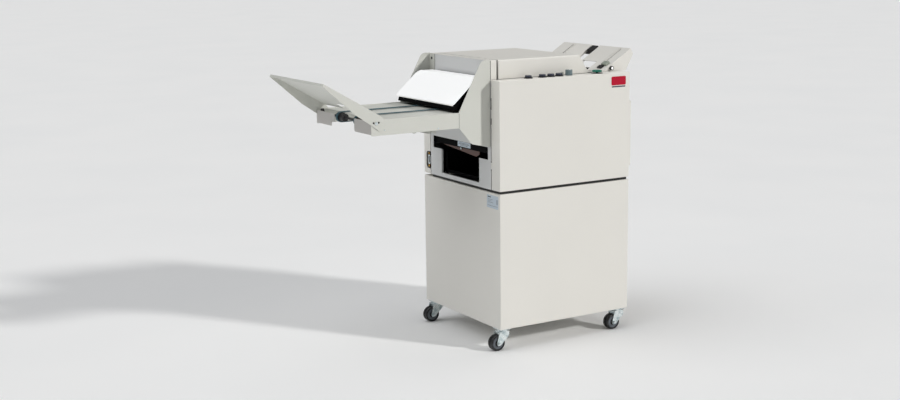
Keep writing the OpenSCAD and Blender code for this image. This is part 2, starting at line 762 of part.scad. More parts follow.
bin_half = bin_open_w / 2 - bin_gap;
module waste_bin() {
    top = slot_z0 - 6;
    x = x_exit + 20;
    color([0.09, 0.09, 0.10]) difference() {
        open_box([x, y_mid - bin_half, bin_floor], [x + bin_l, y_mid + bin_half, top], bin_t, [0, 0, 1]);
        // Low front edge to reach in and grip
        yz_plate(x - 1, x + bin_t + 1, rounded([[y_mid - bin_half + 10, top + 1, 0], [y_mid - bin_half + 16, bin_floor + 14, 14],
            [y_mid + bin_half - 16, bin_floor + 14, 14], [y_mid + bin_half - 10, top + 1, 0]]));
    }
}

flap_pin = [x_exit + 24, slot_z1 - 6];
module waste_flap() {
    f0 = y_mid - slot_half + 100;
    f1 = y_mid + slot_half - 52;
    color([0.27, 0.17, 0.14]) difference() {
        union() {
            yz_plate(flap_pin.x - 1.25, flap_pin.x + 1.25, rounded([[f0, flap_pin.y, 0], [f1, flap_pin.y, 0],
                [f1, flap_pin.y - 28, 3], [f0 + 26, flap_pin.y - 50, 6], [f0, flap_pin.y - 38, 4]]));
            for (y = [f0 + 20, f1 - 40]) y_bar(flap_pin, y, y + 20, 9);
        }
        y_bar(flap_pin, f0 - 1, f1 + 1, 5 + 2 * running_fit);
    }
}

// Black guard over the chute, with the flap's hinge pin
module chute_guard() {
    color(black) block([x_exit + 8, in0, slot_z1 - 28], [x_exit + 10, in1, slot_z1 + 30]);
    color(steel) y_bar(flap_pin, in0, in1, 5);
}

// ---- Slitting and cutting ----

// Eight discs, evenly spread between the side frames
disc_y = [for (i = [0:7]) -(in1 - in0) / 2 + 44 + i * (in1 - in0 - 83) / 7];
module slitter_shaft_upper() {
    color(steel) {
        y_bar(slit_upper, y0 - 2, y1 + 2, shaft_d);
        for (y = disc_y) y_bar(slit_upper, y_mid + y - 1.5, y_mid + y + 1.5, 2 * slit_r);
        for (y = disc_y) y_bar(slit_upper, y_mid + y - 7, y_mid + y - 1.5, 24);
    }
}

module slitter_shaft_lower() {
    color(steel) {
        y_bar(slit_lower, y0 - 2, y1 + 2, shaft_d);
        for (y = disc_y) y_bar(slit_lower, y_mid + y + 2, y_mid + y + 5, 2 * slit_r);
        for (y = disc_y) y_bar(slit_lower, y_mid + y + 5, y_mid + y + 11, 24);
    }
}

cut_x = x_exit + 120;
module cutter_blade() {
    color(steel) yz_plate(cut_x - 3, cut_x, [[in0 + 7, z_belt + 90], [in1 - 7, z_belt + 90],
        [in1 - 7, z_belt + 26], [in0 + 7, z_belt + 14]]);
}

module cutter_bed() {
    color(steel) {
        block([cut_x + 0.5, in0, z_belt - 40], [cut_x + 14, in1, z_belt - 2]);
        for (y = [in0, in1 - 10]) difference() {
            block([cut_x - 12, y, z_belt - 40], [cut_x + 14, y + 10, z_belt + 96]);
            block([cut_x - 4, y == in0 ? y + 6 : y - 1, z_belt - 16], [cut_x + 1, y == in0 ? y + 11 : y + 4, z_belt + 97]);
        }
    }
}

module drive_motor() {
    p = [x_feed - 110, z_base + 170];
    color(steel) {
        y_bar(p, in1 - 110, in1, 76);
        y_bar(p, in1 - 122, in1 - 110, 40);
        block([p.x - 30, in1 - 90, p.y + 30], [p.x + 30, in1 - 30, p.y + 52]);
    }
}

module power_supply() {
    color(zinc) block([x_feed - 260, y1 + 6 + cover_gap, z_base + 40], [x_feed - 60, y_rear - sheet_t, z_base + 150]);
}

module control_board() {
    z = z_base + 190;
    color([0.05, 0.30, 0.15]) block([x_exit + 120, y1 + 8 + cover_gap, z], [x_exit + 420, y1 + 10 + cover_gap, z + 180]);
    color(black) for (i = [0:3]) block([x_exit + 145 + 66 * i, y1 + 10 + cover_gap, z + 50 + 20 * (i % 2)],
        [x_exit + 185 + 66 * i, y1 + 18 + cover_gap, z + 90 + 20 * (i % 2)]);
    // Standoffs to the housing's rear wall
    color(zinc) for (x = [x_exit + 130, x_exit + 410]) for (h = [10, 170])
        y_bar([x, z + h], y1 + 10 + cover_gap, y_rear - sheet_t, 6);
}

// ---- Feeder ----

function feed_z(x) = feed_top.y - (feed_top.x - x) * feed_tan;
feed_strip_x = feed_top.x - (feed_rise - 1) / feed_tan;
// Band of the plate's thickness under the sloping line, from xa to xb
function feed_band(xa, xb, t = 2) = [
    [xa, feed_z(xa)], [xb, feed_z(xb)],
    [xb + t * sin(feed_angle), feed_z(xb) - t * cos(feed_angle)],
    [xa + t * sin(feed_angle), feed_z(xa) - t * cos(feed_angle)]
];

// Plate, its narrow strip down to the ledge, and the cheek below its outer edge
module feed_plate(side, slot_y) {
    wide = (y1 - y0) / 2 - feed_gap / 2;
    translate([0, side == 0 ? y0 : y1, 0]) mirror([0, side, 0]) difference() {
        union() {
            xz_plate(0, wide, feed_band(feed_low_x, feed_top.x));
            xz_plate(0, feed_strip_w, feed_band(feed_strip_x, feed_low_x + 1));
            xz_plate(0, sheet_t, rounded([[feed_strip_x, z_ledge + 1, 0], [feed_top.x, feed_top.y, 3],
                [feed_top.x + 13, feed_top.y - 23, 5], [feed_top.x - 25, z_ledge - 1, 0], [feed_strip_x, z_ledge - 1, 0]]));
            // Folded edges at the top and at the gap
            xz_plate(0, wide, [[feed_top.x, feed_top.y], [feed_top.x + 4.5, feed_top.y - 8], [feed_top.x + 2.5, feed_top.y - 8.5],
                [feed_top.x - 2, feed_top.y - 1.2]]);
            xz_plate(wide - 2, wide, feed_band(feed_low_x, feed_top.x, 10));
            // Cross brace that joins the plate to the side frame
            xz_plate(0, feed_strip_w, [[feed_strip_x + 30, z_ledge - 1], [feed_strip_x + 60, z_ledge - 1],
                [feed_strip_x + 60, z_ledge + 1], [feed_strip_x + 30, z_ledge + 1]]);
        }
        // Long slot
        xz_plate(slot_y - slot_w / 2, slot_y + slot_w / 2,
            [[feed_strip_x + 22, feed_z(feed_strip_x + 22) + 5], [feed_top.x - 8, feed_z(feed_top.x - 8) + 5],
             [feed_top.x - 8, feed_z(feed_top.x - 8) - 6], [feed_strip_x + 22, feed_z(feed_strip_x + 22) - 6]]);
        if (side == 0) y_bar(knob_c, -1, 3, stem_d + 2 * running_fit);
    }
}

module feed_plate_front() {
    color(paint) feed_plate(0, 53);
}

module feed_plate_rear() {
    color(paint) feed_plate(1, 82);
}

module feed_roller() {
    color(steel) y_bar(feed_roll, y0 - 2, y1 + 2, shaft_d);
    // Four rollers, spread over the throat between the two strips
    half = (y1 - y0) / 2 - feed_strip_w - 42;
    color(black) for (i = [-3:2:3]) y_bar(feed_roll, y_mid + i * half / 3 - 11, y_mid + i * half / 3 + 11, 2 * feed_roll_r);
}

// Dark stop that slides up and down in the gap between the plates
module back_stop() {
    x0 = feed_top.x - 34;
    x1 = feed_top.x - 4;
    half = feed_gap / 2 - 6;
    color(black) {
        xz_plate(y_mid - half, y_mid + half, [[x0, feed_z(x0) - 18], [x0, feed_z(x0) + 1], [x1, feed_z(x1) + 1], [x1, feed_z(x1) - 18]]);
        // Foot that runs along the undersides of the plates' folded edges
        xz_plate(y_mid - half - 14, y_mid + half + 14, [[x0, feed_z(x0) - 18], [x0, feed_z(x0) - 14],
            [x1, feed_z(x1) - 14], [x1, feed_z(x1) - 18]]);
    }
}

knob_c = [x_feed - 50, z_ledge + 14];
module clamp_knob() {
    color(black) {
        y_bar(knob_c, y0 - 11, y0 - 1, 17);
        y_bar(knob_c, y0 - 1, y0 + 12, stem_d);
    }
}

// ---- Controls ----

module button_bezels() {
    r = button_d / 2;
    hole = stem_d / 2 + free_gap;
    color(black) {
        for (x = button_x) translate([x, y_control, z_ledge])
            rotate_extrude() polygon([[hole, 0], [r + 4.5, 0], [r + 3.5, 3], [r + 1, 4], [r + 0.6, 4], [r + 0.6, 1.5], [hole, 1.5]]);
        translate([start_x, y_control, z_ledge])
            rotate_extrude() polygon([[hole, 0], [start_d / 2 + 3, 0], [start_d / 2 + 2, 1.5], [hole, 1.5]]);
    }
}

// Domed cap on a stem, whose foot stays 5 mm above the bezel's floor
module button_cap(x) {
    r = button_d / 2;
    translate([x, y_control, z_ledge]) union() {
        rotate_extrude() polygon(concat([[0, 5], [r, 5], [r, button_h - 4]],
            [for (a = [15:15:90]) [r - 4 + 4 * cos(a), button_h - 4 + 4 * sin(a)]], [[0, button_h]]));
        translate([0, 0, -14]) cylinder(h = 20, d = stem_d);
    }
}

module button(i) {
    color([0.10, 0.12, 0.18]) button_cap(button_x[i]);
}

module mode_knob() {
    color([0.42, 0.50, 0.52]) translate([mode_x, y_control, z_ledge]) {
        translate([0, 0, -14]) cylinder(h = 16, d = stem_d);
        difference() {
            translate([0, 0, 1]) cylinder(h = 22, d = 29);
            for (a = [0:30:330]) rotate([0, 0, a]) translate([16, 0, -1]) cylinder(h = 30, d = 5);
        }
    }
}

module start_button() {
    r = start_d / 2;
    color([0, 0.45, 0.38]) translate([start_x, y_control, z_ledge]) {
        translate([0, 0, -14]) cylinder(h = 20, d = stem_d);
        rotate_extrude() polygon([[0, 6], [r - 3, 6], [r, 8], [r, 10], [r - 2, 12.5], [r - 8, 14], [0, 14.5]]);
    }
}

// ---- Mains ----

module power_inlet() {
    color(black) {
        difference() {
            yz_plate(x_end - 8, x_end, rect(inlet_c.x - 13.5, inlet_c.x + 13.5, inlet_c.y - 11.5, inlet_c.y + 11.5, 3));
            yz_plate(x_end - 6, x_end + 1, rect(inlet_c.x - 11, inlet_c.x + 11, inlet_c.y - 8.5, inlet_c.y + 8.5, 3));
        }
        for (i = [-1:1]) block([x_end - 7, inlet_c.x + 7 * i - 1, inlet_c.y - 2], [x_end - 1, inlet_c.x + 7 * i + 1, inlet_c.y + 2]);
    }
}

module power_switch() {
    color(black) translate([x_end - 3, switch_c.x, switch_c.y]) rotate([90, 0, 0]) translate([0, 0, -10])
        linear_extrude(20) polygon([[-6, -11], [2, -13], [5.5, -12.5], [3.5, 0], [5.5, 12.5], [2, 13], [-6, 11]]);
}

cabinet_shell();
cabinet_door();
hinge_pins();
caster_plates();
caster_fork(0);  // caster_fork_1
caster_fork(1);  // caster_fork_2
caster_fork(2);  // caster_fork_3
caster_fork(3);  // caster_fork_4
caster_wheel(0);  // caster_wheel_1
caster_wheel(1);  // caster_wheel_2
caster_wheel(2);  // caster_wheel_3
caster_wheel(3);  // caster_wheel_4
machine_feet();
base_plate();
frame_front();
frame_rear();
exit_end_panel();
feed_end_panel();
end_cover();
top_strip();
hood();
front_door();
rear_housing();
port_connector();
cheek_front();
cheek_rear();
exit_guard();
nip_guard();
exit_tray();
tray_end_plates();
delivery_belts();
belt_drive_roller();
belt_end_roller();
shaft_bearings();
wing();
wing_pivots();
waste_bin();
waste_flap();
chute_guard();
slitter_shaft_upper();
slitter_shaft_lower();
cutter_blade();
cutter_bed();
drive_motor();
power_supply();
control_board();
feed_plate_front();
feed_plate_rear();
feed_roller();
back_stop();
clamp_knob();
button_bezels();
button(0);  // button_1
button(1);  // button_2
button(2);  // button_3
button(3);  // button_4
mode_knob();
start_button();
power_inlet();
power_switch();
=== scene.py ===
"""Finishes and small fittings of a card slitting and creasing machine on a caster cabinet."""
import json
import math

import bmesh
import bpy
from mathutils import Matrix, Vector


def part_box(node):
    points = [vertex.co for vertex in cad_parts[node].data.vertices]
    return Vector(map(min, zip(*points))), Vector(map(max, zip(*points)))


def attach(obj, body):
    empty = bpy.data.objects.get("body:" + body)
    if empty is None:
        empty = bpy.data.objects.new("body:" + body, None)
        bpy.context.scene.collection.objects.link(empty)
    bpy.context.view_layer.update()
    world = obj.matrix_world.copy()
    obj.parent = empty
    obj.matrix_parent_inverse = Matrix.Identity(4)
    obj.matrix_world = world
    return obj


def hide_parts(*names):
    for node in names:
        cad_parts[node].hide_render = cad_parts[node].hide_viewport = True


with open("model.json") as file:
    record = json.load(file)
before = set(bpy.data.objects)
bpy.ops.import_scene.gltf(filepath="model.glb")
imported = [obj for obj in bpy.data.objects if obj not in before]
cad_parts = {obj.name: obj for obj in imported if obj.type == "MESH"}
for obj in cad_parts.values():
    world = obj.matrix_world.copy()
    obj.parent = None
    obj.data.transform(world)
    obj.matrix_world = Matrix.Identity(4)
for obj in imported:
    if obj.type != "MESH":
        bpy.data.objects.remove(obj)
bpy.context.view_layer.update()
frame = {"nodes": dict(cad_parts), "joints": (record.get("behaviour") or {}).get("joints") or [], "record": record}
scene = bpy.context.scene

MM = 0.001
X_AXIS, Y_AXIS, Z_AXIS = Vector((1, 0, 0)), Vector((0, 1, 0)), Vector((0, 0, 1))


# ---- Camera, lights and floor ----

CAMERA_PLACE = Vector((-3.244, -4.803, 1.644))
CAMERA_YAW = math.radians(30.85)
CAMERA_PITCH = math.radians(10.68)
CAMERA_ROLL = math.radians(-0.71)
CAMERA_LENS = 54.9


def place_camera():
    """Looks from the exit end's front corner, a little above the hood."""
    forward = Vector((math.sin(CAMERA_YAW) * math.cos(CAMERA_PITCH),
                      math.cos(CAMERA_YAW) * math.cos(CAMERA_PITCH),
                      -math.sin(CAMERA_PITCH)))
    level = forward.cross(Z_AXIS).normalized()
    above = level.cross(forward)
    right = level * math.cos(CAMERA_ROLL) + above * math.sin(CAMERA_ROLL)
    up = above * math.cos(CAMERA_ROLL) - level * math.sin(CAMERA_ROLL)
    data = bpy.data.cameras.new("camera")
    data.lens = CAMERA_LENS
    data.sensor_width = 36
    data.clip_end = 300
    camera = bpy.data.objects.new("camera", data)
    scene.collection.objects.link(camera)
    turn = Matrix((right, up, -forward)).transposed().to_4x4()
    camera.matrix_world = Matrix.Translation(CAMERA_PLACE) @ turn
    scene.camera = camera


def sun(name, towards, strength, spread, colour=(1, 1, 1)):
    """Daylight-like lamp whose light comes from the given direction."""
    data = bpy.data.lights.new(name, "SUN")
    data.energy = strength
    data.angle = math.radians(spread)
    data.color = colour
    lamp = bpy.data.objects.new(name, data)
    lamp.rotation_mode = "QUATERNION"
    lamp.rotation_quaternion = Vector(towards).to_track_quat("Z", "Y")
    scene.collection.objects.link(lamp)


def light_the_studio():
    """Key from the feeder end's front corner, wide soft light from above and from the exit end."""
    sun("key", (45, -64, 40), 1.78, 5, (1, 0.985, 0.96))
    sun("overhead", (-0.3, 0.2, 1), 1.0, 80)
    sun("exit_side", (-1, 0.1, 1.3), 0.85, 60, (0.98, 0.99, 1))
    world = bpy.data.worlds.new("surround")
    world.use_nodes = True
    surround = world.node_tree.nodes["Background"]
    surround.inputs["Color"].default_value = (0.95, 0.975, 1, 1)
    surround.inputs["Strength"].default_value = 0.08
    scene.world = world
    scene.view_settings.view_transform = "Standard"


# ---- Shader maths ----

class Wire:
    """Output of a shader node. Arithmetic on it adds Math nodes."""

    def __init__(self, recipe, socket):
        self.recipe = recipe
        self.socket = socket

    def math(self, operation, *values):
        return self.recipe.node("ShaderNodeMath", {"operation": operation}, dict(enumerate(values)))

    def __add__(self, other):
        return self.math("ADD", self, other)

    __radd__ = __add__

    def __sub__(self, other):
        return self.math("SUBTRACT", self, other)

    def __rsub__(self, other):
        return self.math("SUBTRACT", other, self)

    def __mul__(self, other):
        return self.math("MULTIPLY", self, other)

    __rmul__ = __mul__

    def above(self, limit, softness=0.05):
        """0 below the limit, 1 above it, with a soft step between."""
        return self.recipe.node("ShaderNodeMapRange", {"interpolation_type": "SMOOTHSTEP"},
                                {"Value": self, "From Min": limit - softness, "From Max": limit + softness})


class Recipe:
    """One finish: a material, its nodes and the shader that they feed."""

    def __init__(self, name, **constants):
        self.material = bpy.data.materials.new(name)
        self.material.use_nodes = True
        self.tree = self.material.node_tree
        self.shader = self.tree.nodes["Principled BSDF"]
        for socket, value in constants.items():
            self.shader.inputs[socket.replace("_", " ")].default_value = value
        self.place = self.node("ShaderNodeTexCoord", output="Object")

    def node(self, kind, settings=None, sockets=None, output=0):
        made = self.tree.nodes.new(kind)
        for name, value in (settings or {}).items():
            setattr(made, name, value)
        for name, value in (sockets or {}).items():
            if isinstance(value, Wire):
                self.tree.links.new(value.socket, made.inputs[name])
            else:
                made.inputs[name].default_value = value
        return Wire(self, made.outputs[output])

    def noise(self, size, detail=2, place=None):
        """Soft noise whose features are about size metres wide, from 0 to 1."""
        return self.node("ShaderNodeTexNoise", None,
                         {"Vector": place or self.place, "Scale": 1 / size, "Detail": detail})

    def stretched(self, x, y, z):
        """Object coordinates scaled along each axis."""
        return self.node("ShaderNodeMapping", None, {"Vector": self.place, "Scale": (x, y, z)})

    def axes(self):
        """The three object coordinates as separate values."""
        split = self.node("ShaderNodeSeparateXYZ", None, {"Vector": self.place})
        return [Wire(self, split.socket.node.outputs[i]) for i in range(3)]

    def mix(self, factor, first, second):
        return self.node("ShaderNodeMix", {"data_type": "RGBA"}, {0: factor, 6: first, 7: second}, 2)

    def feed(self, socket, wire):
        self.tree.links.new(wire.socket, self.shader.inputs[socket])

    def relief(self, height, depth, strength=1.0):
        """Raises the surface by up to depth metres where height is 1."""
        bump = self.node("ShaderNodeBump", None,
                         {"Height": height, "Distance": depth, "Strength": strength})
        self.feed("Normal", bump)


def srgb(red, green, blue):
    """Colour given as 0 to 255 display values."""
    return tuple((c / 255 / 12.92 if c <= 10 else ((c / 255 + 0.055) / 1.055) ** 2.4)
                 for c in (red, green, blue)) + (1,)


def shade(colour, amount):
    """The colour made lighter or darker by a share of itself."""
    return tuple(min(1, c * (1 + amount)) for c in colour[:3]) + (1,)


# ---- Finishes ----

def powder_coat(name, colour, roughness=0.46):
    """Baked textured paint: a fine orange peel, speckle, and broad drifts of tone."""
    paint = Recipe(name)
    drift = paint.noise(0.35, 3)
    speckle = paint.noise(0.0011, 2)
    peel = paint.noise(0.0026, 3)
    tone = drift * 0.6 + speckle * 0.4
    paint.feed("Base Color", paint.mix(tone, shade(colour, -0.055), shade(colour, 0.05)))
    paint.feed("Roughness", peel * 0.16 + drift * 0.06 + (roughness - 0.11))
    paint.relief(peel * 0.7 + speckle * 0.3, 0.00012, 0.55)
    return paint.material


def satin_white_with_painted_glow():
    """Smooth bright sheet with the faintest waviness, and a faint painted glow from its emission."""
    # Emission makes the sheet glow faintly: a painted glow, not a lamp.
    coat = Recipe("satin_white_with_painted_glow", Coat_Weight=0.15, Coat_Roughness=0.25, Emission_Color=(1, 1, 1, 1),
                  Emission_Strength=0.30)
    wave = coat.noise(0.08, 2)
    grain = coat.noise(0.0016, 2)
    coat.feed("Base Color", coat.mix(wave, srgb(250, 252, 253), srgb(255, 255, 255)))
    coat.feed("Roughness", wave * 0.08 + grain * 0.06 + 0.30)
    coat.relief(wave * 0.8 + grain * 0.2, 0.0002, 0.4)
    return coat.material


def bright_zinc():
    """Zinc plate with a cool tint, cloudy spangle and dull patches."""
    plate = Recipe("bright_zinc", Metallic=0.75)
    spangle = plate.node("ShaderNodeTexVoronoi", None, {"Vector": plate.place, "Scale": 190}, "Distance")
    cloud = plate.noise(0.018, 4)
    dull = cloud.above(0.56, 0.12)
    bright = plate.mix(spangle, srgb(240, 246, 246), srgb(214, 224, 226))
    plate.feed("Base Color", plate.mix(dull, bright, srgb(182, 196, 200)))
    plate.feed("Roughness", dull * 0.16 + spangle * 0.10 + 0.22)
    plate.relief(spangle * 0.4 + plate.noise(0.0014, 2) * 0.6, 0.00005, 0.6)
    return plate.material


def ground_steel():
    """Steel ground across the machine, with fine lines and faint oil stains."""
    steel = Recipe("ground_steel", Metallic=1.0)
    lines = steel.noise(0.0009, 2, steel.stretched(1, 0.03, 1))
    stain = steel.noise(0.05, 4).above(0.60, 0.22)
    ground = steel.mix(lines, srgb(150, 152, 155), srgb(190, 192, 194))
    steel.feed("Base Color", steel.mix(stain, ground, srgb(152, 151, 148)))
    steel.feed("Roughness", lines * 0.16 + stain * 0.12 + 0.26)
    steel.relief(lines, 0.00003, 0.6)
    return steel.material


def blackened_steel():
    """Oil-blackened hinge steel, rubbed brighter in patches."""
    steel = Recipe("blackened_steel", Metallic=0.6)
    rubbed = steel.noise(0.006, 4).above(0.60, 0.08)
    steel.feed("Base Color", steel.mix(rubbed, srgb(22, 22, 24), srgb(58, 58, 62)))
    steel.feed("Roughness", 0.5 - rubbed * 0.14)
    steel.relief(steel.noise(0.001, 2), 0.00004, 0.5)
    return steel.material


def brass():
    """Turned brass, slightly tarnished in patches."""
    metal = Recipe("brass", Metallic=1.0)
    tarnish = metal.noise(0.004, 3).above(0.55, 0.15)
    metal.feed("Base Color", metal.mix(tarnish, srgb(214, 176, 98), srgb(150, 112, 60)))
    metal.feed("Roughness", tarnish * 0.2 + 0.28)
    return metal.material


def moulded(name, colour, roughness=0.45, coat=0.0, specular=0.5):
    """Moulded plastic with a spark-eroded grain and slightly uneven gloss."""
    plastic = Recipe(name, Coat_Weight=coat, Coat_Roughness=0.18, Specular_IOR_Level=specular)
    texture = plastic.noise(0.0009, 3)
    drift = plastic.noise(0.03, 2)
    tone = texture * 0.5 + drift * 0.5
    plastic.feed("Base Color", plastic.mix(tone, shade(colour, -0.14), shade(colour, 0.14)))
    plastic.feed("Roughness", texture * 0.10 + drift * 0.10 + (roughness - 0.10))
    plastic.relief(texture, 0.00006, 0.6)
    return plastic.material


def rubber(name, colour, dust):
    """Solid rubber with a fine mould texture and pale dust in patches."""
    tread = Recipe(name)
    dusty = tread.noise(0.012, 5).above(0.54, 0.14)
    texture = tread.noise(0.0008, 3)
    tread.feed("Base Color", tread.mix(dusty * dust, colour, srgb(118, 120, 124)))
    tread.feed("Roughness", texture * 0.14 + dusty * 0.14 + 0.36)
    tread.relief(texture, 0.00007, 0.7)
    return tread.material


def woven_belt():
    """Teal belting with a fine plain weave that shows as rows of small humps."""
    belt = Recipe("woven_belt", Sheen_Weight=0.2)
    pitch = 2 * math.pi / 0.0016
    x, y, z = belt.axes()
    warp = ((x + z) * pitch).math("SINE", (x + z) * pitch)
    weft = (y * pitch).math("SINE", y * pitch)
    humps = warp * weft * 0.5 + 0.5
    worn = belt.noise(0.02, 3)
    thread = belt.mix(humps, srgb(8, 40, 50), srgb(24, 88, 104))
    belt.feed("Base Color", belt.mix(worn * 0.5, thread, srgb(38, 96, 108)))
    belt.feed("Roughness", worn * 0.2 + 0.52)
    belt.relief(humps, 0.00015, 0.8)
    return belt.material


def circuit_board():
    """Green laminate with darker traces and tinned pads."""
    board = Recipe("circuit_board", Coat_Weight=0.3, Coat_Roughness=0.2)
    traces = board.node("ShaderNodeTexBrick", None, {"Vector": board.stretched(1, 0, 1), "Scale": 60,
                                                     "Mortar Size": 0.03}, "Fac")
    pads = board.node("ShaderNodeTexVoronoi", None, {"Vector": board.place, "Scale": 140}, "Distance")
    green = board.mix(traces, srgb(18, 84, 46), srgb(34, 116, 66))
    board.feed("Base Color", board.mix(1 - pads.above(0.16, 0.03), green, srgb(190, 188, 176)))
    board.feed("Roughness", pads * 0.3 + 0.3)
    return board.material


def label_stock(name, colour):
    """Blank printed film, slightly mottled, with a soft gloss."""
    film = Recipe(name, Specular_IOR_Level=0.25)
    mottle = film.noise(0.004, 3)
    film.feed("Base Color", film.mix(mottle, shade(colour, -0.05), shade(colour, 0.05)))
    film.feed("Roughness", mottle * 0.12 + 0.34)
    film.relief(mottle, 0.00002, 0.4)
    return film.material


def studio_floor():
    """Pale, faintly mottled floor."""
    floor = Recipe("studio_floor")
    mottle = floor.noise(0.9, 3)
    floor.feed("Base Color", floor.mix(mottle, srgb(244, 245, 246), srgb(250, 250, 250)))
    floor.feed("Roughness", mottle * 0.1 + 0.75)
    return floor.material


PAINT = powder_coat("warm_grey_paint", srgb(232, 230, 224))
SHEET_PAINT = powder_coat("green_grey_paint", srgb(212, 213, 206))
PANEL_PAINT = powder_coat("cool_pale_paint", srgb(218, 219, 219))
INNER_PAINT = powder_coat("brown_grey_paint", srgb(196, 193, 189), 0.40)
# The guard white glows faintly through its emission: painted light.
GLOWING_GUARD_WHITE = satin_white_with_painted_glow()
ZINC = bright_zinc()
STEEL = ground_steel()
BLACK_STEEL = blackened_steel()
# BLACK also colours the strips that paint shade in the joints, under the feeder slots and in the cabinet gap.
BLACK = moulded("black_moulding", srgb(14, 14, 16), 0.50)
DEEP_BLACK = moulded("deep_black_moulding", srgb(3, 3, 4), 0.66, specular=0.06)
RUBBER = rubber("black_rubber", srgb(24, 24, 26), 0.12)
TREAD = rubber("caster_tread", srgb(14, 15, 17), 0.16)
BRASS = brass()
HUB_GREY = moulded("grey_hub", srgb(92, 97, 104), 0.40)
BELT = woven_belt()
FLAP_BROWN = moulded("brown_moulding", srgb(92, 60, 50), 0.40)
CAP_BLUE = moulded("blue_black_caps", srgb(38, 44, 62), 0.30, coat=0.4)
KNOB_GREY = moulded("grey_teal_knob", srgb(112, 130, 134), 0.42)
GREEN = moulded("green_cap", srgb(0, 112, 92), 0.45)
BOARD = circuit_board()
BADGE_RED = label_stock("red_badge", srgb(186, 0, 44))
LABEL = label_stock("pale_label", srgb(200, 212, 222))
# Dark ink for the label print, also used for painted shadow lines along the rear cheek's flange.
INK_AND_SHADOW_LINES = label_stock("ink_and_shadow_lines", srgb(60, 66, 78))
CLAMP_GREY = moulded("grey_green_clamp", srgb(150, 158, 146), 0.40)


# ---- Mesh helpers ----

WELD = 1e-6
SHARP = math.radians(32)


def sharp_edges(bm, wide=0.0):
    """Outside corners whose two faces are both wider than a given width."""
    def width(face):
        return 2 * face.calc_area() / sum(edge.calc_length() for edge in face.edges)
    return [edge for edge in bm.edges if edge.is_manifold and edge.calc_face_angle_signed(0) > SHARP
            and min(width(face) for face in edge.link_faces) >= wide]


def rounded_off(bm, edges, radius, segments):
    if edges:
        bmesh.ops.bevel(bm, geom=edges, offset=radius, offset_type="OFFSET", segments=segments,
                        profile=0.5, affect="EDGES", material=-1, clamp_overlap=True)


def finished(name, bm, finish, body, nodes=()):
    """Turns a bmesh into a piece that rides on a body."""
    for face in bm.faces:
        face.smooth = True
    for edge in bm.edges:
        edge.smooth = edge.is_manifold and edge.calc_face_angle(0) < SHARP
    mesh = bpy.data.meshes.new(name)
    bm.to_mesh(mesh)
    bm.free()
    mesh.materials.append(finish)
    piece = bpy.data.objects.new(name, mesh)
    scene.collection.objects.link(piece)
    normals = piece.modifiers.new("face_normals", "WEIGHTED_NORMAL")
    normals.keep_sharp = True
    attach(piece, body)
    if nodes:
        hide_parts(*nodes)
    return piece


def new_parts(bm, before):
    return [vert for vert in bm.verts if vert not in before]


def slab(bm, low, high, radius=0.0, segments=3):
    """Block between two corners, with its edges rounded."""
    low, high = Vector(low), Vector(high)
    before = set(bm.verts)
    place = Matrix.Translation((low + high) / 2) @ Matrix.Diagonal((*(high - low), 1))
    bmesh.ops.create_cube(bm, size=1, matrix=place)
    made = new_parts(bm, before)
    if radius:
        edges = list({edge for vert in made for edge in vert.link_edges})
        rounded_off(bm, edges, radius, segments)


def card(bm, centre, across, up, width, height, corner, thickness):
    """Thin plate with round corners, lying on a face. It rises along across x up."""
    before = set(bm.verts)
    bmesh.ops.create_grid(bm, x_segments=1, y_segments=1, size=0.5)
    made = new_parts(bm, before)
    bmesh.ops.scale(bm, vec=(width, height, 1), verts=made)
    bmesh.ops.bevel(bm, geom=made, offset=corner, offset_type="OFFSET", segments=5, profile=0.5,
                    affect="VERTICES", material=-1, clamp_overlap=True)
    made = new_parts(bm, before)
    faces = list({face for vert in made for face in vert.link_faces})
    grown = bmesh.ops.extrude_face_region(bm, geom=faces)["geom"]
    raised = [item for item in grown if isinstance(item, bmesh.types.BMVert)]
    bmesh.ops.translate(bm, vec=(0, 0, thickness), verts=raised)
    made = new_parts(bm, before)
    across, up = Vector(across), Vector(up)
    turn = Matrix((across, up, across.cross(up))).transposed().to_4x4()
    bmesh.ops.transform(bm, matrix=Matrix.Translation(centre) @ turn, verts=made)
    bmesh.ops.recalc_face_normals(bm, faces=list({face for vert in made for face in vert.link_faces}))


def spun(bm, profile, centre, axis, steps=24, hexagon=None):
    """Turned shape from [radius, height] points. Points at the hexagon radius become six-sided."""
    before = set(bm.verts)
    verts = [bm.verts.new((radius, 0, height)) for radius, height in profile]
    edges = [bm.edges.new(pair) for pair in zip(verts, verts[1:])]
    bmesh.ops.spin(bm, geom=verts + edges, cent=(0, 0, 0), axis=(0, 0, 1), angle=2 * math.pi,
                   steps=steps, use_merge=True, use_duplicate=False)
    bmesh.ops.remove_doubles(bm, verts=new_parts(bm, before), dist=WELD)
    made = new_parts(bm, before)
    for vert in made:
        radius = math.hypot(vert.co.x, vert.co.y)
        if hexagon and abs(radius - hexagon) < WELD:
            part = math.atan2(vert.co.y, vert.co.x) % (math.pi / 3) - math.pi / 6
            grow = math.cos(math.pi / 6) / math.cos(part)
            vert.co.x *= grow
            vert.co.y *= grow
    turn = Vector(axis).to_track_quat("Z", "X").to_matrix().to_4x4()
    bmesh.ops.transform(bm, matrix=Matrix.Translation(centre) @ turn, verts=made)
    bmesh.ops.recalc_face_normals(bm, faces=list({face for vert in made for face in vert.link_faces}))


def button_screw(bm, centre, axis, diameter):
    """Round-headed screw with a six-sided socket."""
    r = diameter / 2
    spun(bm, [(0, r * 0.25), (r * 0.42, r * 0.25), (r * 0.42, r * 0.52), (r * 0.55, r * 0.55),
              (r * 0.80, r * 0.42), (r * 0.95, r * 0.20), (r, 0), (0, 0)], centre, axis, 24, r * 0.42)


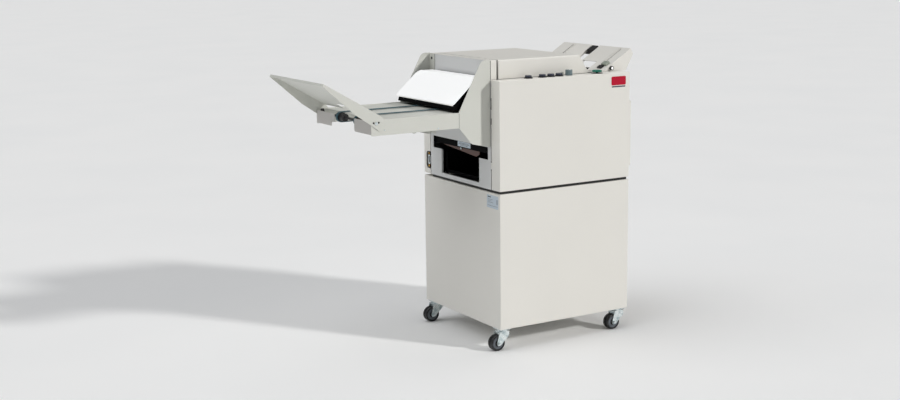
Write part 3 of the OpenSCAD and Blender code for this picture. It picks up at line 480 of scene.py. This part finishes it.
def hexagon_bolt(bm, centre, axis, diameter):
    """Six-sided head with a chamfered top, standing on a washer."""
    r = diameter / 2
    spun(bm, [(0, r * 0.95), (r * 0.78, r * 0.95), (r * 0.98, r * 0.80),
              (r, r * 0.22), (r * 1.25, r * 0.20),
              (r * 1.25, 0), (0, 0)], centre, axis, 24, r)


# ---- Sheet-metal and moulded pieces with rounded edges ----

FOLD = 2.2 * MM
FINE = 0.35 * MM

BODY_OF = {node: body for body, members in frame["record"]["behaviour"]["bodies"].items()
           for node in members}


def eased(node, finish, fold=FOLD, fine=FINE):
    """A copy of a node with its folds rounded and its cut edges broken."""
    bm = bmesh.new()
    bm.from_mesh(frame["nodes"][node].data)
    bmesh.ops.remove_doubles(bm, verts=bm.verts, dist=WELD)
    bmesh.ops.dissolve_limit(bm, angle_limit=math.radians(0.5), verts=bm.verts, edges=bm.edges)
    if fold:
        rounded_off(bm, sharp_edges(bm, 3 * fold), fold, 4)
    if fine:
        rounded_off(bm, sharp_edges(bm), fine, 2)
    return finished(f"{node}_finished", bm, finish, BODY_OF[node], [node])


def finish_the_sheet_metal():
    for node in ("cabinet_shell", "cabinet_door", "front_door", "rear_housing", "end_cover",
                 "hood", "top_strip"):
        eased(node, PAINT)
    for node in ("feed_plate_front", "feed_plate_rear"):
        eased(node, PAINT, 1.2 * MM)
    for node in ("cheek_front", "cheek_rear", "exit_tray", "wing"):
        eased(node, SHEET_PAINT, 1.2 * MM)
    eased("exit_end_panel", PANEL_PAINT, 1.2 * MM)
    eased("tray_end_plates", INNER_PAINT, 0)
    eased("exit_guard", GLOWING_GUARD_WHITE, 0.8 * MM)


def finish_the_mouldings():
    # On the chute guard the deep black is partly the guard's own colour and partly painted shade for the dark
    # upper part of the opening.
    for node in ("nip_guard", "waste_bin", "chute_guard"):
        eased(node, DEEP_BLACK, 0.8 * MM)
    for node in ("back_stop", "clamp_knob", "button_bezels", "power_switch"):
        eased(node, BLACK, 0.8 * MM)
    eased("waste_flap", FLAP_BROWN, 0.8 * MM)
    for number in range(1, 5):
        eased(f"button_{number}", CAP_BLUE, 0.8 * MM)
        eased(f"caster_fork_{number}", ZINC, 0.8 * MM)
        eased(f"caster_wheel_{number}", TREAD, 0)
    eased("mode_knob", KNOB_GREY, 1.2 * MM)
    eased("start_button", GREEN, 0.8 * MM)
    eased("caster_plates", ZINC, 0.8 * MM)


NODE_FINISHES = {
    "hinge_pins": BLACK_STEEL, "machine_feet": RUBBER,
    "base_plate": INNER_PAINT, "feed_end_panel": INNER_PAINT,
    "frame_front": STEEL, "frame_rear": STEEL,
    "port_connector": BLACK, "power_inlet": BLACK, "control_board": BOARD,
    "delivery_belts": BELT, "shaft_bearings": BLACK, "wing_pivots": ZINC,
    "belt_drive_roller": RUBBER, "belt_end_roller": RUBBER, "feed_roller": RUBBER,
    "slitter_shaft_upper": STEEL, "slitter_shaft_lower": STEEL,
    "cutter_blade": STEEL, "cutter_bed": STEEL,
    "drive_motor": BLACK_STEEL, "power_supply": ZINC,
}


def finish_the_rest():
    for node, finish in NODE_FINISHES.items():
        materials = frame["nodes"][node].data.materials
        materials.clear()
        materials.append(finish)


# ---- Small fittings ----

BADGE_X, BADGE_Z, BADGE_BAR_Z = 0.2645, 1.069, 1.045
RATING_LABEL_Y, RATING_LABEL_Z = -0.246, 0.6135
CHUTE_LABEL_Y, CHUTE_LABEL_Z = -0.018, 0.8175
INK = 0.1 * MM

# Bars on the rating label: across, height, width and depth of each
RATING_RULES = (
    (-0.222, 0.632, 0.022, 0.004), (-0.229, 0.622, 0.034, 0.001), (-0.225, 0.616, 0.026, 0.001),
    (-0.231, 0.610, 0.038, 0.001), (-0.246, 0.597, 0.074, 0.001), (-0.279, 0.616, 0.004, 0.020),
)
# Bars on the chute's label: height and width of each
CHUTE_RULES = ((0.8225, 0.070), (0.8180, 0.084), (0.8130, 0.060))


def fit_badge_and_labels():
    """Plain red badge with a bar below it, and two blank labels with plain bars."""
    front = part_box("front_door")[0].y
    bm = bmesh.new()
    card(bm, (BADGE_X, front, BADGE_Z), X_AXIS, Z_AXIS, 0.074, 0.036, 5 * MM, 0.8 * MM)
    finished("badge", bm, BADGE_RED, "front_door")
    bm = bmesh.new()
    card(bm, (BADGE_X, front, BADGE_BAR_Z), X_AXIS, Z_AXIS, 0.070, 0.005, 2 * MM, 0.6 * MM)
    finished("badge_bar", bm, INK_AND_SHADOW_LINES, "front_door")

    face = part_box("cabinet_shell")[0].x
    film = 0.3 * MM
    bm = bmesh.new()
    card(bm, (face, RATING_LABEL_Y, RATING_LABEL_Z), -Y_AXIS, Z_AXIS, 0.084, 0.053, 3 * MM, film)
    finished("rating_label", bm, LABEL, "machine")
    bm = bmesh.new()
    for across, high, width, depth in RATING_RULES:
        card(bm, (face - film, across, high), -Y_AXIS, Z_AXIS, width, depth, 0.4 * MM, INK)
    finished("rating_label_rules", bm, INK_AND_SHADOW_LINES, "machine")

    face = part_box("chute_guard")[0].x
    film = 0.4 * MM
    bm = bmesh.new()
    card(bm, (face, CHUTE_LABEL_Y, CHUTE_LABEL_Z), -Y_AXIS, Z_AXIS, 0.100, 0.021, 2 * MM, film)
    finished("chute_label", bm, LABEL, "machine")
    bm = bmesh.new()
    for high, width in CHUTE_RULES:
        card(bm, (face - film, CHUTE_LABEL_Y, high), -Y_AXIS, Z_AXIS, width, 1.4 * MM, 0.5 * MM, INK)
    finished("chute_label_rules", bm, INK_AND_SHADOW_LINES, "machine")


COVER_SCREW = 8 * MM
END_SCREW_INSET = 20 * MM
HOUSING_SCREW_INSET = 25 * MM
TRAY_SCREW_X, TRAY_SCREW_Z = -0.564, 0.929
TRAY_RIVET_X, TRAY_RIVET_Z = -0.801, 0.941
FLAP_SCREW_Y = 0.028


def fit_cover_screws():
    """Screws on the end cover, the rear housing, the tray's wall and the rear cheek's flange."""
    cheek_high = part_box("cheek_rear")[1]
    low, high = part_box("rear_housing")
    end_low, end_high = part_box("end_cover")
    middle = (end_low.y + end_high.y) / 2
    reach = (end_high.y - end_low.y) / 2 - END_SCREW_INSET
    bm = bmesh.new()
    button_screw(bm, (TRAY_SCREW_X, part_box("exit_tray")[0].y, TRAY_SCREW_Z), -Y_AXIS, 7 * MM)
    for side in (-1, 1):
        for height in (end_low.z + END_SCREW_INSET, end_high.z - END_SCREW_INSET):
            button_screw(bm, (end_high.x, middle + side * reach, height), X_AXIS, COVER_SCREW)
        along = side * (high.x - HOUSING_SCREW_INSET)
        for height in (low.z + HOUSING_SCREW_INSET, (low.z + high.z) / 2, high.z - HOUSING_SCREW_INSET):
            button_screw(bm, (along, high.y, height), Y_AXIS, COVER_SCREW)
    finished("cover_screws", bm, ZINC, "machine")
    bm = bmesh.new()
    keyhole = cheek_high - Vector((2 * MM, 22 * MM, 22 * MM))
    button_screw(bm, keyhole, -X_AXIS, 11 * MM)
    finished("cheek_screw", bm, BLACK_STEEL, "machine")


def fit_wing_screws():
    """Two lock screws by the wing's pivot, and the rivet in the tray's wall below them."""
    low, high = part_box("wing_pivots")
    middle = Vector(((low.x + high.x) / 2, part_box("wing")[0].y, (low.z + high.z) / 2))
    bm = bmesh.new()
    for along in (-11, 11):
        button_screw(bm, middle + Vector((along * MM, 0, 3 * MM)), -Y_AXIS, 7.5 * MM)
    finished("wing_lock_screws", bm, BLACK_STEEL, "wing")
    bm = bmesh.new()
    button_screw(bm, (TRAY_RIVET_X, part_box("exit_tray")[0].y, TRAY_RIVET_Z), -Y_AXIS, 6 * MM)
    finished("tray_rivet", bm, ZINC, "machine")


def fit_flap_screw():
    """Zinc screw on a black washer, low on the waste flap."""
    low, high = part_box("waste_flap")
    face = Vector(((low.x + high.x) / 2 - 1.25 * MM, FLAP_SCREW_Y, low.z + 21 * MM))
    washer = 1.2 * MM
    bm = bmesh.new()
    spun(bm, [(0, washer), (6.5 * MM, washer), (7 * MM, washer / 2), (7 * MM, 0), (0, 0)], face, -X_AXIS)
    finished("flap_washer", bm, BLACK, "waste_flap")
    bm = bmesh.new()
    button_screw(bm, face - washer * X_AXIS, -X_AXIS, 11 * MM)
    finished("flap_screw", bm, ZINC, "waste_flap")


def fit_caster_bolts():
    """Axle nuts on each fork and four bolts under each plate."""
    plates = bmesh.new()
    for number in range(1, 5):
        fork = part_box(f"caster_fork_{number}")
        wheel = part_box(f"caster_wheel_{number}")
        axle = (wheel[0] + wheel[1]) / 2
        bm = bmesh.new()
        hexagon_bolt(bm, (axle.x, fork[0].y, axle.z), -Y_AXIS, 0.011)
        hexagon_bolt(bm, (axle.x, fork[1].y, axle.z), Y_AXIS, 0.011)
        finished(f"axle_nuts_{number}", bm, ZINC, f"caster_{number}")
        swivel = next(joint for joint in frame["joints"] if joint["child"] == f"caster_{number}")
        under_plate = Vector((swivel["pos_m"][0], swivel["pos_m"][1], cabinet_floor - 3 * MM))
        for along in (-20 * MM, 20 * MM):
            for across in (-20 * MM, 20 * MM):
                hexagon_bolt(plates, under_plate + Vector((along, across, 0)), -Z_AXIS, 0.009)
    finished("caster_bolts", plates, ZINC, "machine")


KNOB_CAP = [(0, 1.0), (4.5, 0.9), (5.2, 0.5), (5.5, 0), (0, 0)]


def fit_controls():
    """White cap on the clamp's knob, and a pointer on the mode knob."""
    low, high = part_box("clamp_knob")
    centre = Vector(((low.x + high.x) / 2, low.y, (low.z + high.z) / 2))
    bm = bmesh.new()
    spun(bm, [(radius * MM, height * MM) for radius, height in KNOB_CAP], centre, -Y_AXIS)
    finished("clamp_knob_cap", bm, GLOWING_GUARD_WHITE, "clamp_knob")
    low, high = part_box("mode_knob")
    pointer = Vector(((low.x + high.x) / 2, (low.y + high.y) / 2 - 7 * MM, high.z))
    bm = bmesh.new()
    card(bm, pointer, X_AXIS, Y_AXIS, 2.2 * MM, 11 * MM, 1 * MM, 0.4 * MM)
    finished("mode_knob_pointer", bm, GLOWING_GUARD_WHITE, "mode_knob")


FEED_SLOPE = math.radians(31.5)
FEED_FOLD = 13 * MM


def on_feeder(bm, along, across, size, radius, lift=0.0):
    """Block that lies on the feeder's slope, a distance down from its top edge."""
    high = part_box("feed_plate_front")[1]
    before = set(bm.verts)
    slab(bm, (-size[0] / 2, -size[1] / 2, lift), (size[0] / 2, size[1] / 2, lift + size[2]), radius)
    foot = Vector((high.x - FEED_FOLD - along * math.cos(FEED_SLOPE), across,
                   high.z - along * math.sin(FEED_SLOPE)))
    turn = Matrix.Rotation(-FEED_SLOPE, 4, "Y")
    bmesh.ops.transform(bm, matrix=Matrix.Translation(foot) @ turn, verts=new_parts(bm, before))


def fit_side_guide_clamp():
    """Grey-green block over the low end of the near slot, with a black wedge below it."""
    bm = bmesh.new()
    on_feeder(bm, 0.122, -0.203, (0.024, 0.032, 0.010), 2 * MM)
    finished("guide_clamp", bm, CLAMP_GREY, "machine")
    bm = bmesh.new()
    on_feeder(bm, 0.145, -0.193, (0.020, 0.028, 0.006), 2 * MM)
    finished("guide_wedge", bm, BLACK, "machine")


FEED_SLOT_LENGTH = 0.150


def fit_feeder_slots():
    """Dark strips under the long slots, as painted shade that makes the slots read dark, and the low ridge pressed
    beside each slot.
    """
    slots = ((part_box("feed_plate_front")[0].y + 0.053, 1), (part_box("feed_plate_rear")[1].y - 0.082, -1))
    backing, ridges = bmesh.new(), bmesh.new()
    for across, inward in slots:
        on_feeder(backing, FEED_SLOT_LENGTH / 2 + 10 * MM, across,
                  (FEED_SLOT_LENGTH, 9 * MM, 1 * MM), 0, -3.3 * MM)
        for step in (7.5 * MM, 17.5 * MM):
            on_feeder(ridges, FEED_SLOT_LENGTH / 2 + 4 * MM, across + inward * step,
                      (FEED_SLOT_LENGTH, 2.2 * MM, 0.8 * MM), 0.4 * MM)
    finished("slot_shade_strips", backing, BLACK, "machine")
    finished("feeder_ridges", ridges, PAINT, "machine")


WHEEL_DISC = [(14.5, 0), (14.5, 0.8), (15.5, 1.4), (23.5, 1.4), (24.5, 0.8), (24.5, 0), (14.5, 0)]
WHEEL_RECESS = 3 * MM


def fit_wheel_discs():
    """Grey disc in the recess on each side of every wheel."""
    profile = [(radius * MM, height * MM) for radius, height in WHEEL_DISC]
    for number in range(1, 5):
        low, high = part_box(f"caster_wheel_{number}")
        depth = (high.y - low.y) / 2 - WHEEL_RECESS
        bm = bmesh.new()
        for side in (-1, 1):
            spun(bm, profile, (low + high) / 2 + side * depth * Y_AXIS, side * Y_AXIS, 40)
        finished(f"wheel_discs_{number}", bm, HUB_GREY, f"wheel_{number}")


def fit_connector_face():
    """Zinc shell round the connector's black insert, with a brass screw lock above and below it."""
    low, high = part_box("port_connector")
    centre = Vector((low.x, (low.y + high.y) / 2, (low.z + high.z) / 2))
    shell_t = 0.6 * MM
    shell, insert, locks = bmesh.new(), bmesh.new(), bmesh.new()
    card(shell, centre, -Y_AXIS, Z_AXIS, 0.018, 0.040, 6 * MM, shell_t)
    card(insert, centre - shell_t * X_AXIS, -Y_AXIS, Z_AXIS, 0.0085, 0.030, 3 * MM, 0.4 * MM)
    for side in (-1, 1):
        hexagon_bolt(locks, centre + Vector((0.8 * MM, 0, side * 27 * MM)), -X_AXIS, 0.0085)
    finished("connector_shell", shell, ZINC, "machine")
    finished("connector_insert", insert, BLACK, "machine")
    finished("connector_locks", locks, BRASS, "machine")


CHEEK_T = 2.5 * MM
FLANGE_EDGE = 44.4 * MM


def fit_seam_shade_strips():
    """Dark strips in the joints between the cheeks, the tray wall, the post and the panel: painted shade in those
    joints.
    """
    tray, post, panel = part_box("exit_tray"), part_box("top_strip"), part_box("exit_end_panel")
    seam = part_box("cheek_front")[0].x
    near, face = tray[0].y, panel[0].x
    bm = bmesh.new()
    slab(bm, (seam - 0.6 * MM, near - 0.15 * MM, tray[0].z + 6 * MM),
         (seam + 0.6 * MM, near + 0.6 * MM, tray[1].z - 2 * MM))
    slab(bm, (face + 0.3 * MM, near + 0.3 * MM, post[0].z + 2 * MM),
         (face + 2.4 * MM, near + 2.6 * MM, post[1].z - 3 * MM))
    slab(bm, (face + 1.5 * MM, panel[1].y + 0.1 * MM, panel[0].z + 4 * MM),
         (face + 4 * MM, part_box("rear_housing")[0].y + 1.4 * MM, panel[1].z - 4 * MM))
    finished("seam_shade_strips", bm, BLACK, "machine")

    # Thin ink-coloured lines along the rear cheek's flange edges: painted shadow lines.
    line = 0.9 * MM
    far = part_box("cheek_rear")[1].y
    bm = bmesh.new()
    for across in (far - CHEEK_T - line, far - FLANGE_EDGE):
        slab(bm, (face - 1.9 * MM, across, post[0].z + 10 * MM),
             (face - 1.2 * MM, across + line, post[1].z - 5 * MM))
    finished("flange_shadow_lines", bm, INK_AND_SHADOW_LINES, "machine")


# Bottom and top of each hinge sleeve
HINGE_SLEEVES = ((0.985, 1.031), (0.925, 0.950))


def fit_hinge_sleeves():
    """Black covers over the front door's hinge knuckles, on the edge by the exit end."""
    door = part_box("front_door")
    bm = bmesh.new()
    for bottom, top in HINGE_SLEEVES:
        slab(bm, (door[0].x - 0.1 * MM, door[1].y - 7 * MM, bottom),
             (door[0].x + 1.0 * MM, door[1].y - 1.8 * MM, top))
    finished("hinge_sleeves", bm, BLACK, "front_door")


def fit_plinth_and_gap_shade():
    """Dark foam strip set back in the gap between the cabinet and the machine; its black is painted shade for the
    deep gap.
    """
    low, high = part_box("cabinet_shell")
    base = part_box("base_plate")[0].z
    bm = bmesh.new()
    inset, width = 7 * MM, 12 * MM
    top = base - 1 * MM
    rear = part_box("exit_end_panel")[1].y
    for near in (low.y + inset, rear - width):
        slab(bm, (low.x + inset, near, high.z), (high.x - inset, near + width, top), 1.5 * MM)
    for near in (low.x + inset, high.x - inset - width):
        slab(bm, (near, low.y + inset + width, high.z), (near + width, rear - width, top), 1.5 * MM)
    finished("plinth_strip_gap_shade", bm, BLACK, "machine")


# Section of the finger cup: radius and height in millimetres, from its floor round the rim and back
PULL_CUP = [(0, -9), (10, -9), (13.5, -6), (13.8, 0.2), (16.5, 0.8), (17.2, 0.4), (17.2, 0.1),
            (14.5, 0), (14.5, -6.5), (11, -10.5), (0, -10.5)]


def fit_door_pull():
    """Black cup in the round hole of the cabinet's rear door."""
    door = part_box("cabinet_door")
    centre = (door[1].x - 0.040, door[1].y, (door[0].z + door[1].z) / 2)
    bm = bmesh.new()
    spun(bm, [(radius * MM, height * MM) for radius, height in PULL_CUP], centre, Y_AXIS, 36)
    finished("door_pull_cup", bm, BLACK, "cabinet_door")


def lay_the_floor():
    bm = bmesh.new()
    bmesh.ops.create_grid(bm, x_segments=8, y_segments=8, size=60)
    mesh = bpy.data.meshes.new("floor")
    bm.to_mesh(mesh)
    bm.free()
    mesh.materials.append(studio_floor())
    floor = bpy.data.objects.new("floor", mesh)
    scene.collection.objects.link(floor)


cabinet_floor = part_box("cabinet_shell")[0].z

place_camera()
light_the_studio()
lay_the_floor()
finish_the_sheet_metal()
finish_the_mouldings()
finish_the_rest()
fit_badge_and_labels()
fit_cover_screws()
fit_wing_screws()
fit_flap_screw()
fit_caster_bolts()
fit_controls()
fit_side_guide_clamp()
fit_feeder_slots()
fit_wheel_discs()
fit_connector_face()
fit_seam_shade_strips()
fit_hinge_sleeves()
fit_plinth_and_gap_shade()
fit_door_pull()
